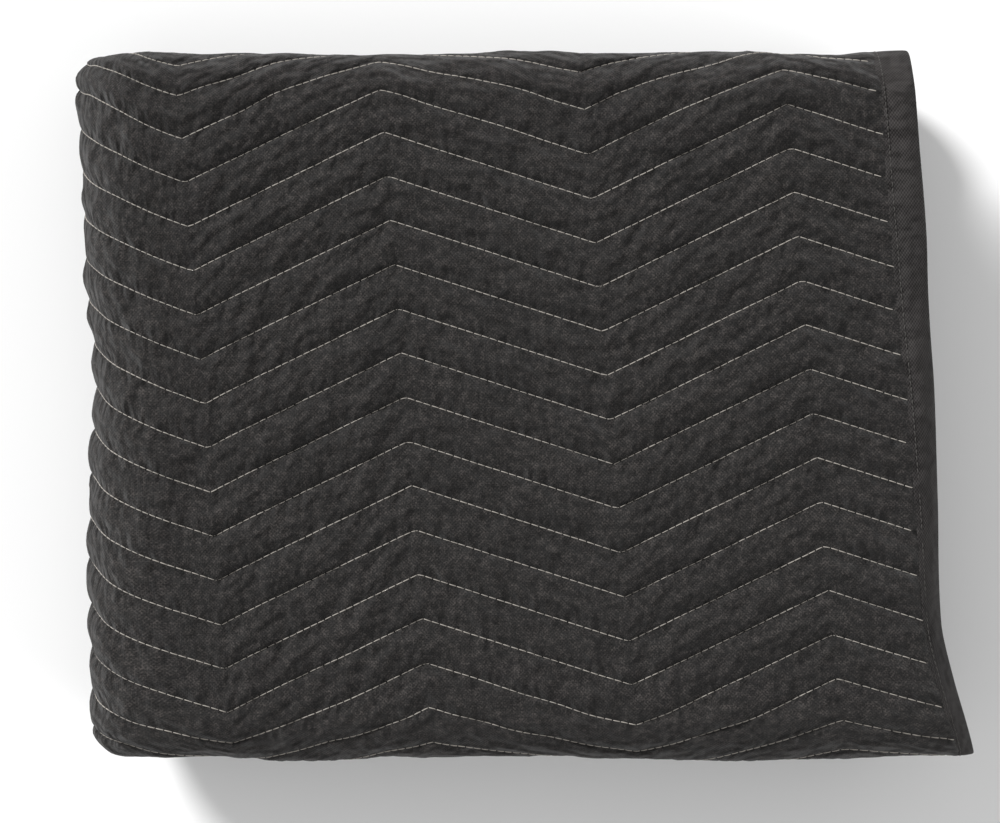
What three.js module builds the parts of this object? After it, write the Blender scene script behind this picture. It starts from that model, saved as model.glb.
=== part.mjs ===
// A quilted moving pad, folded in quarters across its width and in quarters along its length into a
// flat pack of sixteen layers. The pad is one thick cloth: a charcoal face, soft filling and an orange
// back, held together by zigzag rows of stitching, with a bound edge all round. Millimetres, +Z up,
// the pack lies on Z = 0 with its rows of stitching running along X.
import * as THREE from "three";
import { mergeVertices } from "three/addons/utils/BufferGeometryUtils.js";

// The cloth.
const LAYER_PITCH = 6.75; // one layer of the pack, with the air beside it
const CLOTH = 6.2; // thickness of the quilted cloth between two rows of stitching
const ROW_PITCH = 25.6; // from one row of stitching to the next
const ROW_SINK = 1.7; // how deep a row pulls the face in
const ZIG_RUN = 117.8; // length of one straight leg of a zigzag
const ZIG_HEIGHT = 47; // from a valley of a zigzag to its peak
const ZIG_VALLEY = 429; // a valley of the rows, measured from the outer bound end
const ROW_RISE = 0.069; // the rows climb towards the bound end, because the pad was folded askew
const ROW_START = 2.4; // the height across the pack of one row at the outer bound end

// The bound edge: a folded tape with the thinned edge of the pad inside it.
const TAPE = 22;
const TAPE_OUTSIDE = 5.8;
const TAPE_INSIDE = 3.2;
const TONGUE = 2.2; // the pad's edge, pressed thin inside the tape
const TONGUE_SHORT = 3; // the tape's nose beyond the tongue
const GAP = 0.3; // between two pieces

// The strip: the pad folded in quarters across its width.
const STRIP = 4 * LAYER_PITCH;
const HALF_WIDTH = 226;
const EDGE_INSET = 3; // the loose edges stop this far short of the fold above them

// The pack: the strip folded in quarters along its length.
const PACK = 4 * STRIP;
const LEFT_FOLD = -208.2; // axis of the two folds on the left
const RIGHT_FOLD = 212; // axis of the fold on the right
const END_OUTER = 247.6; // the bound end on top
const END_INNER = 205; // the bound end beneath it

// The outline of the pack, rounded by its own weight and by storage.
const HALF_DEPTH = 208.6;
const PAST_EDGE = 6; // the shoulder curves run on to a line this far past the edge
const SHOULDER_REACH = 35;
const SHOULDER_DROP = 44.5;
const SOLE_REACH = 52;
const SOLE_LIFT = 30;
const CORNER_REACH = 28;
const CORNER_CUT = 20;
const LEAN = 9.8; // the left side leans in towards the front
const WAIST = 6.2; // and has a hollow
const WAIST_AT = 15;
const WAIST_LENGTH = 53;
const SLANT = 0.076; // the two bound ends lie askew, the more so the nearer to the end
const SLANT_GROWTH = 0.15;
const SLANT_FROM = -247;
const SLANT_RUN = 68;
const BEND_FROM = 226; // past this line the top panel has nothing under it and bends down
const BEND_RADIUS = 22;
const BEND_MOST = 1.01;
const EAR = 18; // the near right corner of the top panel sticks out
const EAR_LENGTH = 80;

const layerHeight = (layer) => (1.5 - layer) * LAYER_PITCH; // layer 0 is the top one of the strip
const smooth = (x) => {
  const t = Math.min(1, Math.max(0, x));
  return t * t * (3 - 2 * t);
};

// A quarter of an ellipse, as a drop that starts at `reach` from the edge line.
function shoulder(inside, reach, drop) {
  const t = Math.min(1, Math.max(0, (reach - inside) / reach));
  return drop * (1 - Math.sqrt(1 - t * t));
}

const shoulderFall = (inside) => shoulder(inside, SHOULDER_REACH, SHOULDER_DROP);

// The plan position of a point of the top face, from its distance across the flat cloth.
const acrossTable = (() => {
  const table = [[0, 0]];
  const steps = 240;
  const edge = HALF_DEPTH + PAST_EDGE;
  let arc = 0;
  for (let i = 1; i <= steps; i++) {
    const a = (HALF_DEPTH * (i - 1)) / steps;
    const b = (HALF_DEPTH * i) / steps;
    arc += Math.hypot(b - a, shoulderFall(edge - b) - shoulderFall(edge - a));
    table.push([arc, b]);
  }
  const flatUntil = edge - SHOULDER_REACH;
  const stretch = (HALF_WIDTH - flatUntil) / (arc - flatUntil);
  return table.map(([s, y]) => [y < flatUntil ? y : flatUntil + (s - flatUntil) * stretch, y]);
})();

function across(y) {
  const flat = Math.min(Math.abs(y), HALF_WIDTH);
  let i = 1;
  while (i < acrossTable.length - 1 && acrossTable[i][0] < flat) i++;
  const [s0, y0] = acrossTable[i - 1];
  const [s1, y1] = acrossTable[i];
  return Math.sign(y) * (y0 + ((y1 - y0) * (flat - s0)) / (s1 - s0));
}

// How far the top panel's end reaches out and down where nothing lies under it.
function bend(x) {
  const past = Math.max(0, x - BEND_FROM);
  const angle = Math.min(BEND_MOST, past / BEND_RADIUS);
  const straight = past - angle * BEND_RADIUS;
  return {
    x: Math.min(x, BEND_FROM) + BEND_RADIUS * Math.sin(angle) + straight * Math.cos(angle),
    drop: BEND_RADIUS * (1 - Math.cos(angle)) + straight * Math.sin(angle),
  };
}

// Moves a point of the squarely folded pack to where it lies in the rounded one. `askew` is 1 on the
// two panels that have a bound end, `onTop` is 1 on the top one alone.
function settle(x, y, z, askew, onTop) {
  const depth = across(y);
  const inside = HALF_DEPTH + PAST_EDGE - Math.abs(depth);
  const top = PACK - shoulderFall(inside);
  const sole = shoulder(inside, SOLE_REACH, SOLE_LIFT);

  const along = (x - LEFT_FOLD) / (END_OUTER - LEFT_FOLD);
  const slant = askew * SLANT * smooth((x - SLANT_FROM) / SLANT_RUN) * (1 + SLANT_GROWTH * along);
  const plan = x - slant * depth;
  const bent = bend(plan);
  const nearLeft = 1 - smooth((x - (LEFT_FOLD - PACK / 2)) / 110);
  const nearRight = smooth((x - RIGHT_FOLD + 60) / 80);
  const corner = shoulder(inside, CORNER_REACH, CORNER_CUT);
  const waist = WAIST * Math.exp(-(((depth - WAIST_AT) / WAIST_LENGTH) ** 2));
  const lean = LEAN * (0.5 - depth / (2 * HALF_DEPTH));
  const ear = EAR * Math.max(0, (EAR_LENGTH - HALF_DEPTH - depth) / EAR_LENGTH) ** 1.5;
  return new THREE.Vector3(
    plan +
      onTop * (bent.x - plan) +
      nearLeft * (corner + waist + lean) +
      nearRight * (onTop * ear - (1 - onTop) * corner),
    depth,
    sole + ((z - onTop * bent.drop) * (top - sole)) / PACK,
  );
}

// The line that the strip follows through the pack, from the outer bound end to the inner one.
const lineParts = [
  { from: END_OUTER, to: LEFT_FOLD, height: PACK - STRIP / 2, steps: 0 },
  { centre: LEFT_FOLD, height: PACK / 2, radius: 1.5 * STRIP, start: 90, sweep: 180 },
  { from: LEFT_FOLD, to: RIGHT_FOLD, height: STRIP / 2 },
  { centre: RIGHT_FOLD, height: STRIP, radius: STRIP / 2, start: 270, sweep: 180 },
  { from: RIGHT_FOLD, to: LEFT_FOLD, height: 1.5 * STRIP },
  { centre: LEFT_FOLD, height: PACK / 2, radius: STRIP / 2, start: 270, sweep: -180 },
  { from: LEFT_FOLD, to: END_INNER, height: 2.5 * STRIP },
];
for (const part of lineParts) {
  part.length = part.radius
    ? (Math.PI * part.radius * Math.abs(part.sweep)) / 180
    : Math.abs(part.to - part.from);
}
const [TOP, LEFT_TURN, BOTTOM, RIGHT_TURN, THIRD, INNER_TURN, SECOND] = lineParts;
lineParts.reduce((begin, part) => ((part.begin = begin), begin + part.length), 0);
const LINE = SECOND.begin + SECOND.length;

// A point `off` beside the line, on the outer side of the strip.
function besideLine(s, off) {
  const part = lineParts.findLast((p) => s >= p.begin) ?? TOP;
  const t = s - part.begin;
  if (!part.radius) {
    const way = Math.sign(part.to - part.from);
    return { x: part.from + way * t, z: part.height - way * off };
  }
  const angle = ((part.start + (part.sweep * t) / part.length) * Math.PI) / 180;
  const radius = part.radius + Math.sign(part.sweep) * off;
  return { x: part.centre + radius * Math.cos(angle), z: part.height + radius * Math.sin(angle) };
}

function place(s, y, off) {
  const { x, z } = besideLine(s, off);
  const onTop = 1 - smooth((s - LEFT_TURN.begin) / LEFT_TURN.length);
  const second = smooth((s - INNER_TURN.begin) / INNER_TURN.length);
  return settle(x, y, z, onTop + second, onTop);
}

// The height across the pack of a row of stitching, `row` pitches from the first. Round the outer
// fold the face is longer than the line inside the strip.
function rowAt(row, s) {
  const round = Math.max(0, s - LEFT_TURN.begin) * (PACK / 2 / LEFT_TURN.radius - 1);
  const leg = (s + round - ZIG_VALLEY) / ZIG_RUN;
  const wave = Math.abs(leg - 2 * Math.round(leg / 2));
  return ROW_START + row * ROW_PITCH + ZIG_HEIGHT * (wave - 0.5) - ROW_RISE * s;
}

const FACE_LOW = -HALF_WIDTH + LAYER_PITCH + 4;
const FACE_HIGH = HALF_WIDTH - 2 * LAYER_PITCH - 4;
const HIDDEN = [-201, -178, -155, -128, 0, 148, 178, 205]; // where a hidden face has points
const FIRST_ROW = -10;
const LAST_ROW = 11;

// The points of the outer face at one place along the strip, from high to low: as deep as its rows of
// stitching pull it in, or even with its points on the rows, or plain like a hidden face.
function outerFace(look, s, half) {
  const points = [];
  for (let row = LAST_ROW; row >= FIRST_ROW; row -= 0.5) {
    if (look === "plain") {
      const share = (LAST_ROW - row) / (LAST_ROW - FIRST_ROW + 0.5);
      const at = HIDDEN.length - 1 - Math.floor(share * HIDDEN.length);
      points.push([HIDDEN[at], layerHeight(0) + half]);
      continue;
    }
    const height = rowAt(row, s);
    const y = Math.min(FACE_HIGH, Math.max(FACE_LOW, height));
    const sunk = look === "quilted" && y === height && Number.isInteger(row) ? ROW_SINK : 0;
    points.push([y, layerHeight(0) + half - sunk]);
  }
  return points;
}

function arc(y, off, radius, from, to, steps) {
  const points = [];
  for (let i = 0; i <= steps; i++) {
    const angle = ((from + ((to - from) * i) / steps) * Math.PI) / 180;
    points.push([y + radius * Math.cos(angle), off + radius * Math.sin(angle)]);
  }
  return points;
}

const flatFace = (off, way) =>
  (way > 0 ? HIDDEN : [...HIDDEN].reverse()).map((y) => [y, off]);

// The section of the cloth folded in quarters across its width, as one line of points along its
// charcoal face and one back along its orange face. `half` is half its thickness; `edge` draws its
// two loose edges, and `face` its outer face.
function foldedSection(half, face, edge) {
  const far = HALF_WIDTH - 2 * LAYER_PITCH; // axis of the double fold at the back
  const near = -HALF_WIDTH + LAYER_PITCH; // axis of the single fold at the front
  const pitch = LAYER_PITCH;
  const outer = 1.5 * pitch;
  const inner = 0.5 * pitch;
  const front = [
    ...edge(3, -half).reverse(),
    ...flatFace(layerHeight(3) - half, 1),
    ...arc(far, 0, outer + half, -90, 90, 6),
    ...face,
    ...arc(near, pitch, inner + half, 90, 270, 4),
    ...flatFace(layerHeight(1) - half, 1),
    ...arc(far, 0, inner - half, 90, -90, 2),
    ...flatFace(layerHeight(2) + half, -1),
    ...edge(2, half),
  ];
  const back = [
    ...edge(2, -half).reverse(),
    ...flatFace(layerHeight(2) - half, 1),
    ...arc(far, 0, inner + half, -90, 90, 4),
    ...flatFace(layerHeight(1) + half, -1),
    ...arc(near, pitch, inner - half, 270, 90, 2),
    ...flatFace(layerHeight(0) - half, 1),
    ...arc(far, 0, outer - half, 90, -90, 4),
    ...flatFace(layerHeight(3) + half, -1),
    ...edge(3, half),
  ];
  return { front, back };
}

const LOOSE = -HALF_WIDTH + EDGE_INSET; // where a taped loose edge ends

// The loose edge of the pad: its full thickness up to the tape, then the thin tongue inside it.
function paddedEdge(layer, half) {
  const side = Math.sign(half);
  const step = LOOSE + TAPE + GAP;
  const middle = layerHeight(layer);
  const thin = Math.min(Math.abs(half), TONGUE / 2) * side;
  return [
    [step, middle + half],
    [step, middle + thin],
    [LOOSE + TONGUE_SHORT, middle + thin],
  ];
}

const squareEdge = (reach) => (layer, half) => [
  [LOOSE + TAPE + GAP, layerHeight(layer) + half],
  [reach, layerHeight(layer) + half],
];

// The triangles that close a section: its two lines of points are zipped together, always by the
// shorter step.
function zip({ front, back }, base) {
  const faces = [];
  const last = front.length + back.length - 1;
  const apart = (i, j) => {
    const [y0, z0] = front[i];
    const [y1, z1] = back[j - front.length];
    return Math.hypot(y0 - y1, z0 - z1);
  };
  let i = 0;
  let j = last;
  while (i < front.length - 1 || j > front.length) {
    const frontNext = i < front.length - 1 ? apart(i + 1, j) : Infinity;
    const backNext = j > front.length ? apart(i, j - 1) : Infinity;
    if (frontNext <= backNext) {
      faces.push([base + i, base + i + 1, base + j]);
      i++;
    } else {
      faces.push([base + i, base + j - 1, base + j]);
      j--;
    }
  }
  return faces;
}

// Joins loops of points into a closed solid. Each loop is a section of the cloth at one place along
// the strip, with the same number of points; the first and the last one are closed. Every square is
// split the same way across the pack, so that neighbouring layers bend alike.
function sweep(name, loops, material) {
  const rings = loops.map(({ s, section }) =>
    [...section.front, ...section.back].map(([y, off]) => place(s, y, off)),
  );
  const count = rings[0].length;
  if (rings.some((ring) => ring.length !== count)) throw new Error(name + ": unequal loops");
  const faces = [];
  for (let i = 0; i + 1 < rings.length; i++) {
    for (let j = 0; j < count; j++) {
      const next = (j + 1) % count;
      const [a, b, c, d] = [j, next, j + count, next + count].map((v) => v + i * count);
      const rising = rings[i][j].y < rings[i][next].y;
      if (rising === loops[i].s < loops[i + 1].s) faces.push([a, b, d], [a, d, c]);
      else faces.push([a, b, c], [b, d, c]);
    }
  }
  faces.push(...zip(loops[0].section, 0).map(([a, b, c]) => [c, b, a]));
  faces.push(...zip(loops.at(-1).section, (rings.length - 1) * count));
  return solid(name, rings.flat(), faces, material);
}

// Makes one mesh: points that coincide become one, flat triangles go, and the faces look outward.
function solid(name, points, faces, material) {
  const geometry = new THREE.BufferGeometry().setFromPoints(points);
  geometry.setIndex(faces.flat());
  const merged = mergeVertices(geometry, 1e-3);
  const { index, attributes } = merged;
  const corner = (i) => new THREE.Vector3().fromBufferAttribute(attributes.position, i);
  const kept = [];
  let volume = 0;
  for (let i = 0; i < index.count; i += 3) {
    const [a, b, c] = [index.getX(i), index.getX(i + 1), index.getX(i + 2)];
    if (a === b || b === c || c === a) continue;
    kept.push([a, b, c]);
    volume += corner(a).dot(corner(b).cross(corner(c)));
  }
  merged.setIndex(kept.flatMap(([a, b, c]) => (volume < 0 ? [a, c, b] : [a, b, c])));
  merged.computeVertexNormals();
  const mesh = new THREE.Mesh(merged, material);
  mesh.name = name;
  return mesh;
}

// Places along the strip where a loop is made: at the corners of the zigzags on the top panel, closer
// together round the folds, and near both ends of the hidden panels.
function placesAlong() {
  const places = [];
  const turn = (part, steps) => {
    for (let i = 0; i <= steps; i++) places.push(part.begin + (part.length * i) / steps);
  };
  for (const s of [TAPE + 8, TAPE + 20]) places.push(s);
  for (let leg = -3; leg < 0.1; leg += 0.5) places.push(ZIG_VALLEY + leg * ZIG_RUN);
  turn(LEFT_TURN, 8);
  for (const panel of [BOTTOM, THIRD, SECOND]) {
    for (const share of [0.08, 0.2, 0.8, 0.92]) places.push(panel.begin + share * panel.length);
  }
  turn(RIGHT_TURN, 6);
  turn(INNER_TURN, 4);
  return places.sort((a, b) => a - b);
}

// The rows show on the top panel and on both folds beside it.
const lookAt = (s) =>
  s <= LEFT_TURN.begin + 0.8 * LEFT_TURN.length ||
  (s >= RIGHT_TURN.begin && s <= RIGHT_TURN.begin + RIGHT_TURN.length)
    ? "quilted"
    : "plain";

const charcoal = new THREE.MeshStandardMaterial({ color: 0x3a3836, roughness: 0.95, metalness: 0 });
const black = new THREE.MeshStandardMaterial({ color: 0x262524, roughness: 0.9, metalness: 0 });

function makePad() {
  const full = CLOTH / 2;
  const thin = TONGUE / 2;
  const ends = [
    [TONGUE_SHORT, thin],
    [TAPE + GAP, thin],
    [TAPE + GAP, full],
  ];
  const loopAt = (s, half, face) => ({ s, section: foldedSection(half, face, paddedEdge) });
  const loops = [
    ...ends.map(([s, half]) => loopAt(s, half, outerFace("even", TAPE, half))),
    ...placesAlong().map((s) => loopAt(s, full, outerFace(lookAt(s), s, full))),
    ...ends.reverse().map(([s, half]) => loopAt(LINE - s, half, outerFace("plain", 0, half))),
  ];
  return sweep("pad", loops, charcoal);
}

// The tape on a loose edge: a channel closed at its nose, with the pad's tongue inside it.
function makeSideTape(name, layer) {
  const middle = layerHeight(layer);
  const out = TAPE_OUTSIDE / 2;
  const within = TAPE_INSIDE / 2;
  const mouth = LOOSE + TAPE;
  const floor = LOOSE + TONGUE_SHORT - GAP;
  const section = {
    front: [
      [mouth, middle + out],
      [LOOSE + out / 2, middle + out],
      [LOOSE, middle + out / 2],
      [LOOSE, middle - out / 2],
      [LOOSE + out / 2, middle - out],
      [mouth, middle - out],
    ],
    back: [
      [mouth, middle - within],
      [floor, middle - within],
      [floor, middle + within],
      [mouth, middle + within],
    ],
  };
  const start = TAPE + GAP;
  const places = [start, ...placesAlong(), LINE - start];
  return sweep(name, places.map((s) => ({ s, section })), black);
}

// The tape across an end of the strip: it follows every layer's edge, folds included. Its loops go
// from the floor of the channel out along its inner walls, and back along its outer ones.
function makeEndTape(name, atEnd) {
  const look = atEnd ? "plain" : "even";
  const floor = TONGUE_SHORT - GAP;
  const outline = [
    { depth: floor, thickness: TAPE_INSIDE, reach: LOOSE + floor },
    { depth: TAPE, thickness: TAPE_INSIDE, reach: LOOSE + floor },
    { depth: TAPE, thickness: TAPE_OUTSIDE, reach: LOOSE },
    { depth: TAPE_OUTSIDE / 4, thickness: TAPE_OUTSIDE, reach: LOOSE },
    { depth: 0, thickness: TAPE_OUTSIDE / 2, reach: LOOSE + TAPE_OUTSIDE / 4 },
  ];
  const loops = outline.map(({ depth, thickness, reach }) => {
    const half = thickness / 2;
    return {
      s: atEnd ? LINE - depth : depth,
      section: foldedSection(half, outerFace(look, TAPE, half), squareEdge(reach)),
    };
  });
  return sweep(name, loops, black);
}

const pack = new THREE.Group();
pack.add(makePad());
pack.add(makeSideTape("side_tape_upper", 2), makeSideTape("side_tape_lower", 3));
pack.add(makeEndTape("end_tape_top", false), makeEndTape("end_tape_under", true));

// The frame: the middle of the pack's box, on the surface it lies on.
const box = new THREE.Box3().setFromObject(pack);
const middle = box.getCenter(new THREE.Vector3());
for (const mesh of pack.children) mesh.geometry.translate(-middle.x, -middle.y, -box.min.z);

export default pack;
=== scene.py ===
import math

import bmesh
import bpy
import numpy as np
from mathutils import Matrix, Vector


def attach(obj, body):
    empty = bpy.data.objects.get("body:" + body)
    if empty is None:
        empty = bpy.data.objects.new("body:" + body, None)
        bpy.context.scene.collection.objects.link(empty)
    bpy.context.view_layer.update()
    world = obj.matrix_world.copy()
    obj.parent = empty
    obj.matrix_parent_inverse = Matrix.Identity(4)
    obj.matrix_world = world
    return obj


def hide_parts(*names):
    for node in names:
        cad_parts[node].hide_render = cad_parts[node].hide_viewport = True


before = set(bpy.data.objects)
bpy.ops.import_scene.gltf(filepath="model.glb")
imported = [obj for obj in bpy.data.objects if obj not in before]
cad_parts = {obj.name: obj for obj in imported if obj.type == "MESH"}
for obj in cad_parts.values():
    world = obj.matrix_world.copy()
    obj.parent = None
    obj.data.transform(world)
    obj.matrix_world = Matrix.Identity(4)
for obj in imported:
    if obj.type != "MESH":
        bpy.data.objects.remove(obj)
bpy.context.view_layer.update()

# The pad is one thick cloth, folded in quarters across its width and then in quarters along its
# length. A point of it is (s, v, h): s runs along the folded strip from the bound end on top, v across
# the cloth from the nose of the lower loose edge, h is the height off its middle, positive on the
# charcoal side. Everything below is in millimetres until a mesh is made.
PITCH = 6.75  # from layer to layer
CLOTH = 6.2  # the cloth's full thickness
FLOOR_GAP = 0.05  # what touches the floor lies flat on it

# The zigzag rows of stitching.
ROW_PITCH = 25.6
ROW_SINK = 3.2  # how far a row draws the charcoal face down
ROW_START = 2.4  # the mean height of the middle row where the strip begins
ROW_RISE = 0.069  # the rows run a little askew
ZIG_RUN = 117.8  # from a peak to the next valley
ZIG_HEIGHT = 47.0
ZIG_VALLEY = 429.0  # where the valleys are counted from

# The bound edge: its width and half its thickness, the pocket in it, and the cloth's thin tongue there.
TAPE = 22.0
TAPE_HALF = 2.7
POCKET_HALF = 1.5
TONGUE_HALF = 1.1
TONGUE_SHORT = 3.0
EDGE_INSET = 3.0  # the loose edges stay behind the folds

# The folded pack before it settles.
STRIP = 4 * PITCH
PACK = 4 * STRIP
HALF_WIDTH = 226.0
LEFT_FOLD = -208.2
RIGHT_FOLD = 212.0
END_OUTER = 247.6
END_INNER = 205.0

# How it settles: the top rounds off toward the long sides, the underside lifts off the floor there,
# and the corners draw in.
HALF_DEPTH = 208.6
PAST_EDGE = 6.0
SHOULDER_REACH = 35.0
SHOULDER_DROP = 44.5
SOLE_REACH = 52.0
SOLE_LIFT = 30.0
CORNER_REACH = 28.0
CORNER_CUT = 20.0

# The left side leans in toward the front and has a waist; the panels lie askew toward the bound end.
LEFT_REACH = 110.0
LEAN = 9.8
WAIST = 6.2
WAIST_AT = 15.0
WAIST_LENGTH = 53.0
SLANT = 0.076
SLANT_GROWTH = 0.15
SLANT_FROM = -247.0
SLANT_RUN = 68.0

# The bound end on top hangs over the fold below it, and its front corner reaches out.
RIGHT_FROM = 60.0
RIGHT_REACH = 80.0
BEND_FROM = 226.0
BEND_RADIUS = 22.0
BEND_MOST = 1.01
EAR = 18.0
EAR_LENGTH = 80.0

# How far soft layers lie out of line: at the long sides, at the ends and in height.
SIDE_FROM = 130.0
SIDE_REACH = 80.0
SIDE_WAVE = 1.3
SIDE_RIPPLE = 0.8
SIDE_INSET = 0.8
END_FROM = 170.0
END_REACH = 80.0
END_WAVE = 1.2
TOP_WAVE = 1.5
EDGE_WAVE = 0.9
FLOOR_REACH = 30.0  # the lowest layer is flat, and the wave grows over this height

TO_FRAME = np.array([-5.235, 0.0, -0.275])  # from the pack's own axes to the row frame


def smooth(x):
    """An even step: 0 up to 0, 1 from 1 on."""
    t = np.clip(x, 0.0, 1.0)
    return t * t * (3 - 2 * t)


def lattice(i, j, k, seed):
    """A number from -1 to 1 for each point of a lattice: the large odd numbers only mix its bits."""
    n = i * 374761393 + j * 668265263 + k * 1274126177 + seed * 974634777
    n = (n ^ (n >> 13)) * 1103515245 & 0xFFFFFFFF
    n = (n ^ (n >> 16)) * 668265263 & 0xFFFFFFFF
    return ((n ^ (n >> 15)) & 0xFFFF) / 32767.5 - 1


def noise(x, y, z=0.0, seed=0):
    """Smooth noise, from -1 to 1."""
    x, y, z = np.broadcast_arrays(*(np.asarray(a, float) for a in (x, y, z)))
    cell = [np.floor(a).astype(np.int64) for a in (x, y, z)]
    part = [a - c for a, c in zip((x, y, z), cell)]
    ease = [p * p * p * (p * (p * 6 - 15) + 10) for p in part]
    total = np.zeros(x.shape)
    for a in (0, 1):
        for b in (0, 1):
            for c in (0, 1):
                share = np.ones(x.shape)
                for e, on in zip(ease, (a, b, c)):
                    share = share * (e if on else 1 - e)
                total += share * lattice(cell[0] + a, cell[1] + b, cell[2] + c, seed)
    return total


def ridges(x, y, seed):
    """Noise with sharp crests at 1 and wide troughs below them."""
    return 1 - 2.4 * np.abs(noise(x, y, 0, seed))


def shoulder(inside, reach, drop):
    """A rounded edge: how far it falls at a distance inside the edge."""
    t = np.clip((reach - inside) / reach, 0.0, 1.0)
    return drop * (1 - np.sqrt(np.maximum(0.0, 1 - t * t)))


def across_table():
    """The place across the flat cloth and the same place on the settled top, which is curved."""
    edge = HALF_DEPTH + PAST_EDGE
    y = np.linspace(0, HALF_DEPTH, 241)
    fall = shoulder(edge - y, SHOULDER_REACH, SHOULDER_DROP)
    arc = np.concatenate([[0.0], np.cumsum(np.hypot(np.diff(y), np.diff(fall)))])
    flat_until = edge - SHOULDER_REACH
    stretch = (HALF_WIDTH - flat_until) / (arc[-1] - flat_until)
    return np.where(y < flat_until, y, flat_until + (arc - flat_until) * stretch), y


ACROSS = across_table()


def across(y):
    return np.sign(y) * np.interp(np.abs(y), *ACROSS)


def bend(x):
    """The top's end past the fold below it: how far it still reaches, and how far it hangs down."""
    past = np.maximum(0.0, x - BEND_FROM)
    angle = np.minimum(BEND_MOST, past / BEND_RADIUS)
    straight = past - angle * BEND_RADIUS
    reach = np.minimum(x, BEND_FROM) + BEND_RADIUS * np.sin(angle) + straight * np.cos(angle)
    return reach, BEND_RADIUS * (1 - np.cos(angle)) + straight * np.sin(angle)


def settle(x, y, z, askew, on_top):
    """Turns the plain folded pack into the soft one that lies on the floor."""
    depth = across(y)
    inside = HALF_DEPTH + PAST_EDGE - np.abs(depth)
    top = PACK - shoulder(inside, SHOULDER_REACH, SHOULDER_DROP)
    sole = shoulder(inside, SOLE_REACH, SOLE_LIFT)
    along = (x - LEFT_FOLD) / (END_OUTER - LEFT_FOLD)
    slant = askew * SLANT * smooth((x - SLANT_FROM) / SLANT_RUN) * (1 + SLANT_GROWTH * along)
    plan = x - slant * depth
    bent, drop = bend(plan)
    near_left = 1 - smooth((x - (LEFT_FOLD - PACK / 2)) / LEFT_REACH)
    near_right = smooth((x - RIGHT_FOLD + RIGHT_FROM) / RIGHT_REACH)
    corner = shoulder(inside, CORNER_REACH, CORNER_CUT)
    waist = WAIST * np.exp(-(((depth - WAIST_AT) / WAIST_LENGTH) ** 2))
    lean = LEAN * (0.5 - depth / (2 * HALF_DEPTH))
    ear = EAR * np.maximum(0, (EAR_LENGTH - HALF_DEPTH - depth) / EAR_LENGTH) ** 1.5
    out_x = (
        plan
        + on_top * (bent - plan)
        + near_left * (corner + waist + lean)
        + near_right * (on_top * ear - (1 - on_top) * corner)
    )
    height = sole + (z - on_top * drop) * (top - sole) / PACK
    return np.stack([out_x, depth, height], axis=-1)


def loosen(p):
    """The small unevenness of soft layers that lie on each other: neighbours move almost alike."""
    x, y, z = p[..., 0], p[..., 1], p[..., 2]
    off_floor = smooth(z / FLOOR_REACH)
    edge = smooth((np.abs(y) - SIDE_FROM) / SIDE_REACH)
    end = smooth((np.abs(x) - END_FROM) / END_REACH)
    which = np.where(y > 0, 40.0, 0.0)  # each long side has its own waves
    wave = SIDE_WAVE * noise(x / 62, z / 17, which, 1)
    ripple = SIDE_RIPPLE * noise(x / 23, z / 13, which, 2)
    shift_y = np.sign(y) * edge * off_floor * (wave + ripple - SIDE_INSET)
    shift_x = np.sign(x) * end * off_floor * END_WAVE * noise(y / 55, z / 19, np.sign(x) * 7, 3)
    lift = off_floor * (z / PACK) * (TOP_WAVE * noise(x / 120, y / 95, z / 60, 4))
    lift = lift + off_floor * edge * EDGE_WAVE * noise(x / 48, z / 24, which, 5)
    return np.stack([x + shift_x, y + shift_y, z + lift], axis=-1)


# The line that the strip follows: straight parts, and turns about a centre.


def measured(parts):
    """The parts, each with its length and where it begins, and the length of them all."""
    begin = 0.0
    for part in parts:
        if "radius" in part:
            part["length"] = math.pi * part["radius"]
        else:
            part["length"] = abs(part["stop"] - part["start"])
        part["begin"] = begin
        begin += part["length"]
    return parts, begin


PARTS, LINE = measured(
    [
        dict(start=END_OUTER, stop=LEFT_FOLD, height=PACK - STRIP / 2),
        dict(centre=LEFT_FOLD, height=PACK / 2, radius=1.5 * STRIP, angle=90, sweep=180),
        dict(start=LEFT_FOLD, stop=RIGHT_FOLD, height=STRIP / 2),
        dict(centre=RIGHT_FOLD, height=STRIP, radius=STRIP / 2, angle=270, sweep=180),
        dict(start=RIGHT_FOLD, stop=LEFT_FOLD, height=1.5 * STRIP),
        dict(centre=LEFT_FOLD, height=PACK / 2, radius=STRIP / 2, angle=270, sweep=-180),
        dict(start=LEFT_FOLD, stop=END_INNER, height=2.5 * STRIP),
    ]
)
TOP, LEFT_TURN, BOTTOM, RIGHT_TURN, THIRD, INNER_TURN, SECOND = PARTS


def beside_line(s, off):
    """Where a point lies along X and Z, s along the strip's line and `off` beside it."""
    x = np.zeros(np.broadcast(s, off).shape)
    z = np.zeros_like(x)
    s, off = np.broadcast_arrays(s, off)
    for part in PARTS:
        mine = (s >= part["begin"]) if part is not TOP else np.ones(s.shape, bool)
        t = s[mine] - part["begin"]
        if "radius" in part:
            angle = np.radians(part["angle"] + part["sweep"] * t / part["length"])
            radius = part["radius"] + np.sign(part["sweep"]) * off[mine]
            x[mine] = part["centre"] + radius * np.cos(angle)
            z[mine] = part["height"] + radius * np.sin(angle)
        else:
            way = np.sign(part["stop"] - part["start"])
            x[mine] = part["start"] + way * t
            z[mine] = part["height"] - way * off[mine]
    return x, z


# The line of the cloth across the strip: four faces and three folds, from loose edge to loose edge.
FAR = HALF_WIDTH - 2 * PITCH
NEAR = -HALF_WIDTH + PITCH
LOOSE = -HALF_WIDTH + EDGE_INSET


def layer(n):
    """The height of a layer's middle off the strip's line, counted from the outer layer."""
    return (1.5 - n) * PITCH


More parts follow.
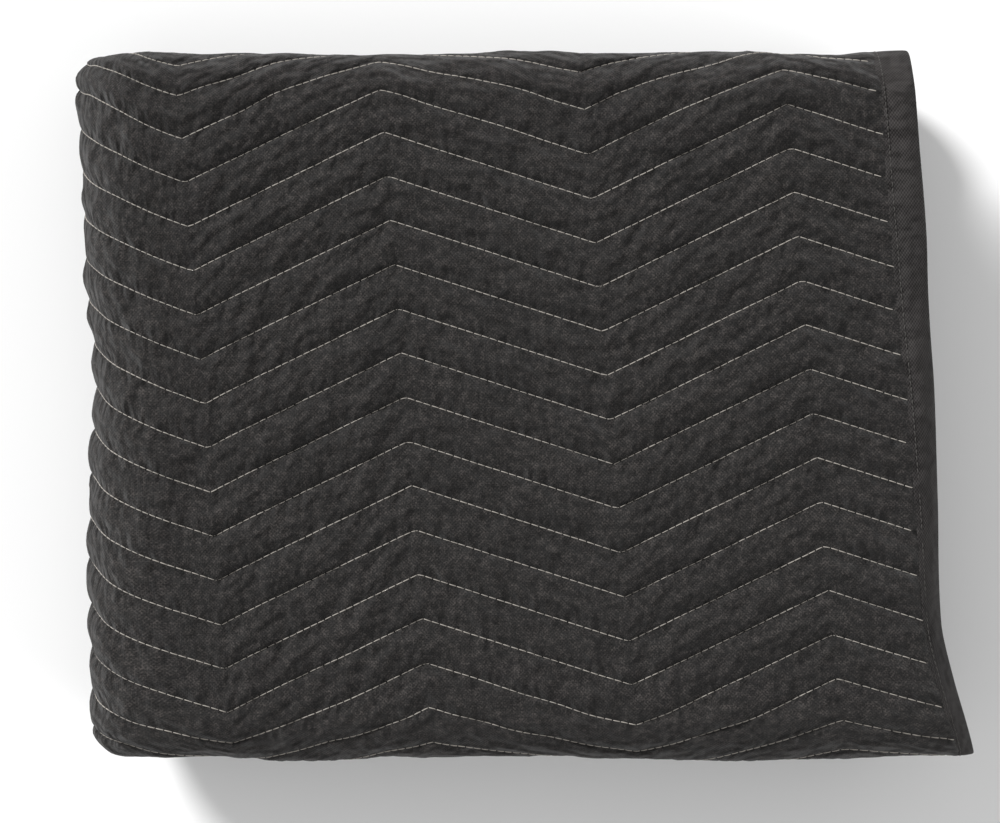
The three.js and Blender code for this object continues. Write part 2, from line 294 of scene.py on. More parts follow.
ACROSS_PARTS, WIDTH = measured(
    [
        dict(start=LOOSE, stop=FAR, off=layer(3), normal=-1),
        dict(centre=FAR, off=0.0, radius=1.5 * PITCH, angle=-90, sweep=180),
        dict(start=FAR, stop=NEAR, off=layer(0), normal=1),
        dict(centre=NEAR, off=PITCH, radius=0.5 * PITCH, angle=90, sweep=180),
        dict(start=NEAR, stop=FAR, off=layer(1), normal=-1),
        dict(centre=FAR, off=0.0, radius=0.5 * PITCH, angle=90, sweep=-180),
        dict(start=FAR, stop=LOOSE, off=layer(2), normal=1),
    ]
)
UNDER, BACK_FOLD, OUTER, FRONT_FOLD, INNER, BACK_TUCK, UPPER = ACROSS_PARTS


def section(v, h):
    """Where (v, h) lies across the strip: its place along Y, and its height off the strip's line."""
    v, h = np.broadcast_arrays(v, h)
    y = np.zeros(v.shape)
    off = np.zeros(v.shape)
    for part in ACROSS_PARTS:
        mine = (v >= part["begin"]) if part is not UNDER else np.ones(v.shape, bool)
        t = v[mine] - part["begin"]
        if "radius" in part:
            angle = np.radians(part["angle"] + part["sweep"] * t / part["length"])
            radius = part["radius"] + np.sign(part["sweep"]) * h[mine]
            y[mine] = part["centre"] + radius * np.cos(angle)
            off[mine] = part["off"] + radius * np.sin(angle)
        else:
            way = np.sign(part["stop"] - part["start"])
            y[mine] = part["start"] + way * t
            off[mine] = part["off"] + part["normal"] * h[mine]
    return y, off


def cloth(s, v, h):
    """The points of the folded and settled cloth, in the row frame."""
    s, v, h = (np.asarray(a, float) for a in np.broadcast_arrays(s, v, h))
    y, off = section(v, h)
    x, z = beside_line(s, off)
    on_top = 1 - smooth((s - LEFT_TURN["begin"]) / LEFT_TURN["length"])
    second = smooth((s - INNER_TURN["begin"]) / INNER_TURN["length"])
    placed = loosen(settle(x, y, z, on_top + second, on_top)) + TO_FRAME
    placed[..., 2] = np.maximum(placed[..., 2], FLOOR_GAP)
    return placed


# The rows of stitching.


def face_length(s):
    """s as measured on the outer face, which is longer round the folds."""
    total = np.asarray(s, float).copy()
    for part, outer in ((LEFT_TURN, PACK / 2), (RIGHT_TURN, STRIP)):
        t = np.clip(s - part["begin"], 0, part["length"])
        total = total + t * (outer / part["radius"] - 1)
    return total


def row_height(row, s):
    """The height of a row, which zigzags, off the middle of the outer face."""
    leg = (face_length(s) - ZIG_VALLEY) / ZIG_RUN
    wave = np.abs(leg - 2 * np.round(leg / 2))
    return ROW_START + row * ROW_PITCH + ZIG_HEIGHT * (wave - 0.5) - ROW_RISE * s


def row_at(row, s):
    """The v of a row, whose heights are counted on the outer face."""
    return OUTER["begin"] + FAR - row_height(row, s)


# The relief of the charcoal face, up from its rows: how high each form stands.
LUMP = 0.2  # of the puff's own height
SHORT_CREASE = 1.0
LONG_CREASE = 0.85
SLACK = 1.0
WAVE = 0.35
FACE_DOWN = 0.2  # the whole face lies this much lower


def to_edge(s, v):
    """How far a place on the flat cloth is from the nearest edge."""
    return np.minimum(np.minimum(s, LINE - s), np.minimum(v, WIDTH - v))


def relief(s, v):
    """How far the charcoal face rises or sinks off its full thickness: it is drawn down along the
    rows, puffed up between them, and puckered where the thread gathers it."""
    height = OUTER["begin"] + FAR - v
    phase = (height - row_height(0, s)) / ROW_PITCH
    row = np.round(phase)
    side = np.sign(phase - row)
    near = 1 - 2 * np.abs(phase - row)  # 1 on a row, 0 halfway between two
    puff = 0.55 * np.sqrt(1 - 0.98 * near**2) + 0.45 * (1 - near**1.6)
    lump = noise(s / 46, phase * 0.8, 0, 13)
    short = ridges((s + 3 * side * phase) / 9.5, row * 3.7 + side * 0.4, 11)
    long = ridges((s + 14 * phase) / 17, phase * 0.5, 12)
    slack = noise(s / 24 - 0.8 * phase, phase * 0.5, 0, 15)
    rise = -ROW_SINK * (1 - puff * (1 + LUMP * lump)) - FACE_DOWN
    rise = rise + SHORT_CREASE * short * near * (1 - near**8)
    rise = rise + (LONG_CREASE * long + SLACK * slack) * (1 - near**4)
    rise = rise + WAVE * noise(s / 17, v / 13, 0, 14)
    return rise * smooth((to_edge(s, v) - TAPE + 1) / 7)


def half_at(s, v):
    """Half the pad's thickness: thin where the tape holds it, full past the seam."""
    grow = np.sqrt(1 - (1 - np.clip((to_edge(s, v) - (TAPE - 2)) / 11, 0, 1)) ** 2)
    return TONGUE_HALF + (CLOTH / 2 - TONGUE_HALF) * grow


def surface(s, v):
    """The points of the charcoal face."""
    return cloth(s, v, half_at(s, v) + relief(s, v))


def make_mesh(name, points, faces, uv=None, materials=(), material_of=None, rows_uv=None):
    """Makes a smooth piece. Its points and their places on the flat cloth come in millimetres, and a
    face is a list of point numbers."""
    mesh = bpy.data.meshes.new(name)
    points = np.asarray(points, float) / 1000
    mesh.vertices.add(len(points))
    mesh.vertices.foreach_set("co", points.ravel())
    sizes = np.array([len(f) for f in faces])
    loops = np.concatenate([np.asarray(f) for f in faces])
    starts = np.concatenate([[0], np.cumsum(sizes)[:-1]])
    mesh.loops.add(len(loops))
    mesh.loops.foreach_set("vertex_index", loops.astype(np.int32))
    mesh.polygons.add(len(sizes))
    mesh.polygons.foreach_set("loop_start", starts.astype(np.int32))
    for label, places in (("cloth", uv), ("rows", rows_uv)):
        if places is not None:
            layer_uv = mesh.uv_layers.new(name=label)
            layer_uv.data.foreach_set("uv", (np.asarray(places, float)[loops] / 1000).ravel())
    for material in materials:
        mesh.materials.append(material)
    if material_of is not None:
        mesh.polygons.foreach_set("material_index", np.asarray(material_of, np.int32))
    mesh.polygons.foreach_set("use_smooth", np.full(len(sizes), True))
    mesh.update(calc_edges=True)
    mesh.validate()
    obj = bpy.data.objects.new(name, mesh)
    bpy.context.scene.collection.objects.link(obj)
    return obj


def grid_faces(rows, columns, base=0, wrap=False):
    """The four-sided faces of a grid of points, closed into a tube where it wraps."""
    across_count = columns if wrap else columns - 1
    i, j = np.meshgrid(np.arange(rows - 1), np.arange(across_count), indexing="ij")
    k = (j + 1) % columns
    quads = [i * columns + j, i * columns + k, (i + 1) * columns + k, (i + 1) * columns + j]
    return np.stack(quads, axis=-1).reshape(-1, 4) + base


def spread(start, stop, step):
    """Even places from start to stop, about a step apart."""
    count = max(1, round(abs(stop - start) / step))
    return np.linspace(start, stop, count + 1)


def joined(*runs):
    """The places of all the runs in order, each once."""
    return np.unique(np.round(np.concatenate(runs), 4))


def zip_rows(a, a_at, b, b_at):
    """Triangles between two lines of points that run side by side with different spacing."""
    faces = []
    i = j = 0
    while i < len(a) - 1 or j < len(b) - 1:
        if j == len(b) - 1 or (i < len(a) - 1 and a_at[i + 1] <= b_at[j + 1]):
            faces.append([a[i], a[i + 1], b[j]])
            i += 1
        else:
            faces.append([a[i], b[j + 1], b[j]])
            j += 1
    return faces


# Where there are points: in from an edge of the cloth, and off the middle of a face, closer where it
# turns down.
EDGE_STEPS = np.array([TONGUE_SHORT, 12, 19, 21.5, 24, 27, 31, 36])
PAST_EDGE_STEPS = EDGE_STEPS[-1]
FACE_STEPS = np.array([27, 80, 128, 150, 170, 184, 196, 206])

# How close points are along the strip: fine where it shows, coarse on the flat parts inside.
TOP_STEP = 2.6
LEFT_STEP = 2.3
RIGHT_STEP = 2.4
TURN_STEP = 4.5
LEFT_BACK_STEP = 7
BOTTOM_STEP = 8
HIDDEN_STEP = 10
BACK_STEP = 24


def face_steps(part, start=0.0, stop=WIDTH):
    """Where a face has points across the cloth, if no row has to be followed."""
    v = part["begin"] + np.abs(np.concatenate([FACE_STEPS, -FACE_STEPS]) - part["start"])
    return v[(v > start + 3) & (v < stop - 3)]


def back_steps():
    """Where the orange side has points across the cloth."""
    runs = [EDGE_STEPS, WIDTH - EDGE_STEPS]
    for fold, steps in ((BACK_FOLD, 6), (FRONT_FOLD, 4), (BACK_TUCK, 3)):
        runs.append(spread(fold["begin"], fold["begin"] + fold["length"], fold["length"] / steps))
    for part in (UNDER, OUTER, INNER, UPPER):
        runs.append(face_steps(part, PAST_EDGE_STEPS, WIDTH - PAST_EDGE_STEPS))
    return joined(*runs)


QUILT_FROM = BACK_FOLD["begin"] - 8
QUILT_TO = INNER["begin"] + 10
FINE = (0, 0.04, 0.1, 0.19, 0.3, 0.42, 0.58, 0.7, 0.81, 0.9, 0.96)  # of the way from row to row
PLAIN = (0, 0.12, 0.35, 0.65, 0.88)


def quilted_grid(stations, shares):
    """Points of the charcoal side: where it can be seen they follow the rows of stitching, with the
    given shares of the way from row to row, and stay inside the quilted stretch."""
    s = stations[:, None]
    heights = row_height(0, s)
    low = math.floor((OUTER["begin"] + FAR - QUILT_TO - heights.max()) / ROW_PITCH)
    high = math.ceil((OUTER["begin"] + FAR - QUILT_FROM - heights.min()) / ROW_PITCH)
    rows = (np.arange(high, low - 1, -1)[:, None] + np.array(shares)[::-1]).ravel()
    quilt = np.clip(row_at(rows[None, :], s), QUILT_FROM, QUILT_TO)
    before = joined(EDGE_STEPS, face_steps(UNDER, PAST_EDGE_STEPS, QUILT_FROM))
    after = joined(
        face_steps(INNER, QUILT_TO, BACK_TUCK["begin"]),
        spread(BACK_TUCK["begin"], UPPER["begin"], BACK_TUCK["length"] / 4),
        face_steps(UPPER, UPPER["begin"], WIDTH - PAST_EDGE_STEPS),
        WIDTH - EDGE_STEPS,
    )
    count = len(stations)
    v = np.hstack([np.tile(before, (count, 1)), quilt, np.tile(after, (count, 1))])
    return np.broadcast_to(s, v.shape), v


def corners_between(start, stop):
    """Where the rows turn, between two places along the strip."""
    fine = np.linspace(start, stop, 4001)
    leg = (face_length(fine) - ZIG_VALLEY) / ZIG_RUN
    turns = np.flatnonzero(np.diff(np.floor(leg)))
    return fine[turns]


def stations_between(start, stop, step):
    """Even places along the strip that meet each turn of the rows."""
    corners = corners_between(start, stop)
    marks = np.concatenate([[start], corners[(corners > start + 1) & (corners < stop - 1)], [stop]])
    return joined(*(spread(a, b, step) for a, b in zip(marks[:-1], marks[1:])))


def weld(obj, distance=2e-6):
    """Makes one point of those that coincide, and drops the faces that vanish with them."""
    shape = bmesh.new()
    shape.from_mesh(obj.data)
    bmesh.ops.remove_doubles(shape, verts=shape.verts, dist=distance)
    shape.to_mesh(obj.data)
    shape.free()
    return obj


def face_stations():
    """Where the charcoal side has points along the strip, in three runs, with their shares."""
    top = joined(
        EDGE_STEPS,
        stations_between(PAST_EDGE_STEPS, LEFT_TURN["begin"], TOP_STEP),
        stations_between(LEFT_TURN["begin"], BOTTOM["begin"], LEFT_STEP),
    )
    low = joined(
        spread(BOTTOM["begin"] + 6, RIGHT_TURN["begin"], BOTTOM_STEP),
        spread(RIGHT_TURN["begin"], THIRD["begin"], RIGHT_STEP),
    )
    rest = joined(
        spread(THIRD["begin"] + 8, INNER_TURN["begin"], HIDDEN_STEP),
        spread(INNER_TURN["begin"], SECOND["begin"], TURN_STEP),
        spread(SECOND["begin"], LINE - PAST_EDGE_STEPS, HIDDEN_STEP),
        LINE - EDGE_STEPS,
    )
    return (top, FINE), (low, PLAIN), (rest, PLAIN)


def back_stations():
    """Where the orange side has points along the strip."""
    return joined(
        EDGE_STEPS,
        spread(PAST_EDGE_STEPS, LEFT_TURN["begin"], BACK_STEP),
        spread(LEFT_TURN["begin"], BOTTOM["begin"], LEFT_BACK_STEP),
        spread(BOTTOM["begin"], RIGHT_TURN["begin"], BACK_STEP),
        spread(RIGHT_TURN["begin"], THIRD["begin"], TURN_STEP),
        spread(THIRD["begin"], INNER_TURN["begin"], BACK_STEP),
        spread(INNER_TURN["begin"], SECOND["begin"], TURN_STEP),
        spread(SECOND["begin"], LINE - PAST_EDGE_STEPS, BACK_STEP),
        LINE - EDGE_STEPS,
    )


FOLD_TUCK = 1.6  # the orange side lies deeper in the tight front fold than its thickness alone asks
TUCK_WIDTH = 0.8  # of the fold's length


def orange_side(s, v):
    """The points of the orange side, drawn into the front fold."""
    points = cloth(s, v, -half_at(s, v))
    from_fold = (v - FRONT_FOLD["begin"]) / FRONT_FOLD["length"] - 0.5
    clear_of_ends = smooth((np.minimum(s, LINE - s) - TAPE) / 10)
    points[..., 1] += FOLD_TUCK * clear_of_ends * np.exp(-((from_fold / TUCK_WIDTH) ** 2))
    return points


def flipped(faces):
    """The same faces, turned to look the other way."""
    return [f[::-1] for f in faces]


def build_pad(face, back):
    """One closed mesh: the charcoal side, whose spacing follows what can be seen of it, and the orange
    side, joined round the edge of the cloth."""
    points, uv, faces = [], [], []
    count = 0
    runs = []  # the charcoal side's grids, as point numbers with their places
    for stations, shares in face_stations():
        s, v = quilted_grid(stations, shares)
        points.append(surface(s, v).reshape(-1, 3))
        uv.append(np.stack([s, v], axis=-1).reshape(-1, 2))
        faces += grid_faces(*s.shape, count).tolist()
        index = np.arange(s.size).reshape(s.shape) + count
        if runs:
            # The faces of a zip run against those of a grid, so they are turned round.
            before, _, before_v = runs[-1]
            faces += flipped(zip_rows(list(index[0]), v[0], list(before[-1]), before_v[-1]))
        runs.append((index, stations, v))
        count += s.size
    owner = [0] * len(faces)

    steps = back_steps()
    coarse = back_stations()
    s, v = np.meshgrid(coarse, steps, indexing="ij")
    points.append(orange_side(s, v).reshape(-1, 3))
    uv.append(np.stack([s, v], axis=-1).reshape(-1, 2))
    orange_faces = grid_faces(*s.shape, count)[:, ::-1].tolist()
    index = np.arange(s.size).reshape(s.shape) + count
    faces += orange_faces
    owner += [1] * len(orange_faces)

    # The rim, where the two sides meet.
    all_s = np.concatenate([stations for _, stations, _ in runs])
    low_edge = np.concatenate([grid[:, 0] for grid, _, _ in runs])
    high_edge = np.concatenate([grid[:, -1] for grid, _, _ in runs])
    first, _, first_v = runs[0]
    final, _, final_v = runs[-1]
    rim = zip_rows(list(low_edge), all_s, list(index[:, 0]), coarse)
    rim += flipped(zip_rows(list(high_edge), all_s, list(index[:, -1]), coarse))
    rim += flipped(zip_rows(list(first[0]), first_v[0], list(index[0]), steps))
    rim += zip_rows(list(final[-1]), final_v[-1], list(index[-1]), steps)
    faces += rim
    owner += [0] * len(rim)
    points, uv = np.concatenate(points), np.concatenate(uv)
    off_row = OUTER["begin"] + FAR - uv[:, 1] - row_height(0, uv[:, 0])
    rows_uv = np.stack([face_length(uv[:, 0]), off_row], axis=-1)
    return weld(make_mesh("moving_pad", points, faces, uv, (face, back), owner, rows_uv))


def outward(obj):
    """Turns the faces of a closed mesh outward, by the sign of its volume."""
    mesh = obj.data
    mesh.calc_loop_triangles()
    corners = np.zeros(len(mesh.vertices) * 3)
    mesh.vertices.foreach_get("co", corners)
    corners = corners.reshape(-1, 3)
    index = np.zeros(len(mesh.loop_triangles) * 3, np.int32)
    mesh.loop_triangles.foreach_get("vertices", index)
    a, b, c = (corners[index.reshape(-1, 3)[:, n]] for n in range(3))
    if np.einsum("ij,ij->i", a, np.cross(b, c)).sum() < 0:
        mesh.flip_normals()
    return obj


# The binding: a folded tape, pinched along its seam, with ripples and with puckers beside the seam.
SEAM = 18.5
FINE_RIPPLE = 0.22
WIDE_RIPPLE = 0.3
SEAM_PUCKER = 0.55
SEAM_PUCKER_WIDTH = 5.0
NOSE_PINCH = 0.02  # the tape's cut ends are closed
FACES_APART = 40.0  # between the two faces of the tape on its flat layout
HIDDEN_TAPE_STEP = 9


def tape_profile():
    """The tape's outline across the edge of the cloth: distance from its nose, and height."""
    outside = [(0.0, 0.0), (0.25, 1.0), (1.0, 1.9), (2.4, 2.45), (5, TAPE_HALF), (9, TAPE_HALF + 0.1)]
    outside += [(13, TAPE_HALF - 0.1), (16, 2.25), (SEAM, 1.75), (20.3, 2.0), (21.8, 2.05), (TAPE, 1.85)]
    inside = [(TAPE - 0.1, POCKET_HALF), (12, POCKET_HALF), (TONGUE_SHORT - 0.3, POCKET_HALF)]
    upper = outside + inside
    lower = [(e, -h) for e, h in reversed(upper) if e > 0]
    return np.array(upper + lower)


def tape_mesh(name, material, along, place):
    """Sweeps the tape's outline; `place` turns (along, from the nose, height) into points."""
    profile = tape_profile()
    a, e = np.meshgrid(along, profile[:, 0], indexing="ij")
    h = np.broadcast_to(profile[:, 1], a.shape).copy()
    ripple = FINE_RIPPLE * noise(a / 6.5 + e / 30, e / 12, 0, 21)
    ripple = ripple + WIDE_RIPPLE * noise(a / 23, e / 16, 0, 22)
    at_seam = np.exp(-(((e - SEAM) / SEAM_PUCKER_WIDTH) ** 2))
    pucker = SEAM_PUCKER * at_seam * noise(a / 7, e / 20, 0, 23)
    outer = np.abs(h) > POCKET_HALF + 0.05
    h = h + np.where(outer, np.sign(h) * (ripple + pucker), 0)
    h[0, ~outer[0]] *= NOSE_PINCH
    h[-1, ~outer[-1]] *= NOSE_PINCH
    points = place(a, e, h)
    columns = len(profile)
    faces = grid_faces(len(along), columns, wrap=True).tolist()
    faces.append(list(range(columns))[::-1])
    faces.append([(len(along) - 1) * columns + j for j in range(columns)])
    uv = np.stack([a, e + FACES_APART * np.sign(h)], axis=-1).reshape(-1, 2)
    return outward(make_mesh(name, points.reshape(-1, 3), faces, uv, (material,)))


def build_tapes(material):
    """The tape on the two loose edges and across the two ends."""
    start = TAPE + 0.3
    along = joined(
        spread(start, LEFT_TURN["begin"], 5),
        spread(LEFT_TURN["begin"], BOTTOM["begin"], 3.5),
        spread(BOTTOM["begin"], RIGHT_TURN["begin"], 5),
        spread(RIGHT_TURN["begin"], THIRD["begin"], 2.5),
        spread(THIRD["begin"], INNER_TURN["begin"], 5),
        spread(INNER_TURN["begin"], SECOND["begin"], 2.5),
        spread(SECOND["begin"], LINE - start, 5),
    )
    steps = joined(
        spread(0, UNDER["length"], HIDDEN_TAPE_STEP),
        spread(BACK_FOLD["begin"], OUTER["begin"], 2.2),
        spread(OUTER["begin"], FRONT_FOLD["begin"], 2.6),
        spread(FRONT_FOLD["begin"], INNER["begin"], 1.2),
        spread(INNER["begin"], BACK_TUCK["begin"], HIDDEN_TAPE_STEP),
        spread(BACK_TUCK["begin"], UPPER["begin"], 2),
        spread(UPPER["begin"], WIDTH, HIDDEN_TAPE_STEP),
    )
    return [
        tape_mesh("tape_lower_edge", material, along, lambda a, e, h: cloth(a, e, h)),
        tape_mesh("tape_upper_edge", material, along, lambda a, e, h: cloth(a, WIDTH - e, h)),
        tape_mesh("tape_top_end", material, steps, lambda a, e, h: cloth(e, a, h)),
        tape_mesh("tape_inner_end", material, steps, lambda a, e, h: cloth(LINE - e, a, h)),
    ]


# Thread. Each stitch is a short, slightly arched strand that dives into the cloth at both ends.
SIDES = 5
ARCH = (  # the share of a stitch, and there its lift and its thickness
    (0.0, -0.5, 0.6),
    (0.07, 0.1, 0.95),
    (0.5, 0.35, 1.0),
    (0.93, 0.1, 0.95),
    (1.0, -0.5, 0.6),
)
ARCH_RISE = 1.6  # of the thread's radius
ROW_THREAD = 0.34
SEAM_THREAD = 0.3
STITCH = 4.7
STITCH_SHARE = 0.92  # the rest is the hole between two stitches
STITCH_SHIFT = 1.7  # from row to row
STITCH_JITTER = 0.25
SEAM_PITCH = 3.6
SEAM_STITCH = 2.7
SEAM_MIDDLE = 1.3
SEAM_HEIGHT = 1.95


def strands(name, starts, ends, normals, radius, material):
    """starts, ends and normals are arrays of points and directions, one row a stitch."""
    run = ends - starts
    length = np.linalg.norm(run, axis=1, keepdims=True)
    way = run / length
    side = np.cross(way, normals)
    side /= np.linalg.norm(side, axis=1, keepdims=True)
    up = np.cross(side, way)
    rings = []
    for share, lift, swell in ARCH:
        centre = starts + run * share + up * lift * radius * ARCH_RISE
        for k in range(SIDES):
            angle = 2 * math.pi * k / SIDES
            rings.append(centre + radius * swell * (math.cos(angle) * side + math.sin(angle) * up))
    points = np.stack(rings, axis=1)
    per = len(ARCH) * SIDES
    quads = grid_faces(len(ARCH), SIDES, wrap=True)[:, ::-1]
    caps = np.array([list(range(SIDES)), [per - SIDES + k for k in range(SIDES)][::-1]])
    base = np.arange(len(starts))[:, None, None] * per
    faces = (base + quads).reshape(-1, 4).tolist() + (base + caps).reshape(-1, SIDES).tolist()
    return make_mesh(name, points.reshape(-1, 3), faces, None, (material,))


def normals_at(s, v, place):
    """Across the surface that `place` gives, to one side of it."""
    near = 0.4
    ds = place(s + near, v) - place(s - near, v)
    dv = place(s, v + near) - place(s, v - near)
    n = np.cross(ds, dv)
    return n / np.linalg.norm(n, axis=-1, keepdims=True)


def row_stitches(first, last, s_from, s_to, v_from, v_to):
    """Where the stitches of some rows begin and end, as (s, v) pairs, inside a window of the cloth."""
    begins, stops = [], []
    fine = np.arange(s_from, s_to, 0.5)
    for row in range(first, last + 1):
        v = row_at(row, fine)
        arc = np.concatenate([[0], np.cumsum(np.hypot(np.diff(face_length(fine)), np.diff(v)))])
        at = np.arange((row * STITCH_SHIFT) % STITCH, arc[-1] - STITCH, STITCH)
        jitter = STITCH_JITTER * noise(at / 3.1, row * 5.3, 0, 31)
        for out, offset in ((begins, 0), (stops, STITCH * STITCH_SHARE)):
            s = np.interp(at + offset + jitter, arc, fine)
            out.append(np.stack([s, row_at(row, s)], axis=-1))
    a, b = np.concatenate(begins), np.concatenate(stops)
    keep = (a[:, 1] > v_from) & (b[:, 1] > v_from) & (a[:, 1] < v_to) & (b[:, 1] < v_to)
    return a[keep], b[keep]


def stitched_rows(name, windows, material):
    """The thread of the rows inside some windows of the cloth, as one piece."""
    starts, ends, ups = [], [], []
    for window in windows:
        a, b = row_stitches(*window)
        middle = (a + b) / 2
        starts.append(surface(a[:, 0], a[:, 1]))
        ends.append(surface(b[:, 0], b[:, 1]))
        ups.append(normals_at(middle[:, 0], middle[:, 1], surface))
    start, end, up = (np.concatenate(parts) for parts in (starts, ends, ups))
    return strands(name, start, end, up * OUT_SIDE, ROW_THREAD, material)


def seam_stitches(material):
    """The stitches of the seam along the tape across the top end."""

    def face(s, v):
        return cloth(s, v, np.full(np.shape(s), SEAM_HEIGHT))

    at = np.arange(BACK_FOLD["begin"] + 4, INNER["begin"] - 2, SEAM_PITCH)
    s = np.full(at.shape, SEAM)
    start, end = face(s, at), face(s, at + SEAM_STITCH)
    up = normals_at(s, at + SEAM_MIDDLE, face) * OUT_SIDE
    return strands("stitches_tape", start, end, up, SEAM_THREAD, material)


def side_of_normals():
    """1 or -1, so that normals_at points out of the charcoal face."""
    s, v = np.array([200.0]), np.array([OUTER["begin"] + 200])
    n = normals_at(s, v, surface)
    return float(np.sign(n[0, 2]))


OUT_SIDE = side_of_normals()


# Materials. Their lengths are in metres.
ROW_SPACING = ROW_PITCH / 1000
DOT_PITCH = 0.0021  # of the grid that presses the fibre web together
FIBRE_COLOURS = ((0.34, (12, 11, 11)), (0.5, (31, 29, 28)), (0.66, (61, 57, 55)))
PRESSED_SHADE = 0.42
FIBRE_BUMP = 0.0004
CREASE_BUMP = 0.0075
WEAVE_BUMP = 0.0003


def new_material(name, colour, roughness):
    material = bpy.data.materials.new(name)
    material.use_nodes = True
    shader = material.node_tree.nodes["Principled BSDF"]
    shader.inputs["Base Color"].default_value = (*colour, 1)
    shader.inputs["Roughness"].default_value = roughness
    shader.inputs["Specular IOR Level"].default_value = 0.25
    return material, material.node_tree, shader


def srgb(r, g, b):
    def linear(c):
        c /= 255
        return c / 12.92 if c <= 0.04045 else ((c + 0.055) / 1.055) ** 2.4

    return linear(r), linear(g), linear(b)


def colour_stops(stops):
    return [(at, srgb(*colour)) for at, colour in stops]


class Nodes:
    """Short names for making and joining shader nodes."""

    def __init__(self, tree):
        self.tree = tree

    def add(self, kind, **values):
        node = self.tree.nodes.new(kind)
        for key, value in values.items():
            setattr(node, key, value)
        return node

    def math(self, operation, a, b=None):
        node = self.add("ShaderNodeMath", operation=operation)
        for socket, value in zip(node.inputs, (a, b)):
            self.put(socket, value)
        return node.outputs[0]

    def split(self, vector):
        node = self.add("ShaderNodeSeparateXYZ")
        self.put(node.inputs[0], vector)
        return node.outputs["X"], node.outputs["Y"]

    def combine(self, x, y):
        node = self.add("ShaderNodeCombineXYZ")
        self.put(node.inputs["X"], x)
        self.put(node.inputs["Y"], y)
        return node.outputs[0]

    def clamp(self, value):
        node = self.add("ShaderNodeClamp")
        self.put(node.inputs["Value"], value)
        return node.outputs[0]

    def sine(self, length, pitch):
        """A wave that repeats after twice the pitch."""
        return self.math("SINE", self.math("DIVIDE", self.math("MULTIPLY", length, math.pi), pitch))

    def darker(self, colour, amount, least):
        """The colour, multiplied by `least` where the amount is 1."""
        node = self.add("ShaderNodeMix", data_type="RGBA", blend_type="MULTIPLY")
        self.put(node.inputs["Factor"], amount)
        self.put(node.inputs["A"], colour)
        node.inputs["B"].default_value = (least, least, least, 1)
        return node.outputs["Result"]

    def put(self, socket, value):
        if value is None:
            return
        if isinstance(value, (int, float)):
            socket.default_value = value
        else:
            self.tree.links.new(value, socket)

    def noise(self, vector, scale, detail=2.0, roughness=0.5):
        node = self.add("ShaderNodeTexNoise")
        self.put(node.inputs["Vector"], vector)
        node.inputs["Scale"].default_value = scale
        node.inputs["Detail"].default_value = detail
        node.inputs["Roughness"].default_value = roughness
        return node.outputs["Fac"]

    def ramp(self, value, stops):
        node = self.add("ShaderNodeValToRGB")
        self.put(node.inputs["Fac"], value)
        while len(node.color_ramp.elements) < len(stops):
            node.color_ramp.elements.new(0.5)
        for element, (at, colour) in zip(node.color_ramp.elements, stops):
            element.position = at
            element.color = (*colour, 1)
        return node.outputs["Color"]

    def place(self, group, values):
        """Puts a node group in, with a value or a link for each of its inputs."""
        node = self.add("ShaderNodeGroup")
        node.node_tree = group
        for label, value in values.items():
            self.put(node.inputs[label], value)
        return node.outputs

    def bump(self, height, strength, distance, normal=None):
        node = self.add("ShaderNodeBump")
        node.inputs["Strength"].default_value = strength
        node.inputs["Distance"].default_value = distance
        self.put(node.inputs["Height"], height)
        self.put(node.inputs["Normal"], normal)
        return node.outputs["Normal"]


def new_group(name, inputs, outputs):
    """An empty node group with named number and vector sockets, and its two end nodes."""
    tree = bpy.data.node_groups.new(name, "ShaderNodeTree")
    for label, kind in inputs:
        tree.interface.new_socket(name=label, in_out="INPUT", socket_type="NodeSocket" + kind)
    for label, kind in outputs:
        tree.interface.new_socket(name=label, in_out="OUTPUT", socket_type="NodeSocket" + kind)
    n = Nodes(tree)
    return n, n.add("NodeGroupInput").outputs, n.add("NodeGroupOutput").inputs


def weave_group():
    """A plain weave: threads that cross over and under, a little uneven. Its tone is painted shade: lighter
    where a thread crosses over, darker where it dips under.
    """
    n, given, out = new_group(
        "weave",
        [("Vector", "Vector"), ("Warp Pitch", "Float"), ("Weft Pitch", "Float"), ("Unevenness", "Float")],
        [("Height", "Float"), ("Tone", "Float")],
    )
    along, over = n.split(given["Vector"])
    warp = n.sine(along, given["Warp Pitch"])
    weft = n.sine(over, given["Weft Pitch"])
    crossing = n.math("MULTIPLY", warp, weft)
    slubs = n.math("SUBTRACT", n.noise(given["Vector"], 420, 2, 0.6), 0.5)
    n.put(out["Height"], n.math("ADD", crossing, n.math("MULTIPLY", slubs, given["Unevenness"])))
    # The tone follows the crossings: painted shade, darker where a thread dips under.
    n.put(out["Tone"], n.math("ADD", n.math("MULTIPLY", crossing, 0.5), 0.5))
    return n.tree


def grain_group():
    """The unevenness of a cloth's colour: fine fibres, clumps of them and wide patches."""
    n, given, out = new_group(
        "grain",
        [("Vector", "Vector"), ("Fibres", "Float"), ("Clumps", "Float"), ("Patches", "Float")],
        [("Tone", "Float"), ("Height", "Float")],
    )
    fibres = n.noise(given["Vector"], 900, 3, 0.7)
    clumps = n.noise(given["Vector"], 230, 3, 0.65)
    patches = n.noise(given["Vector"], 26, 4, 0.6)
    tone = 0.5
    for part, share in ((fibres, "Fibres"), (clumps, "Clumps"), (patches, "Patches")):
        tone = n.math("ADD", n.math("MULTIPLY", n.math("SUBTRACT", part, 0.5), given[share]), tone)
    n.put(out["Tone"], tone)
    n.put(out["Height"], fibres)
    return n.tree


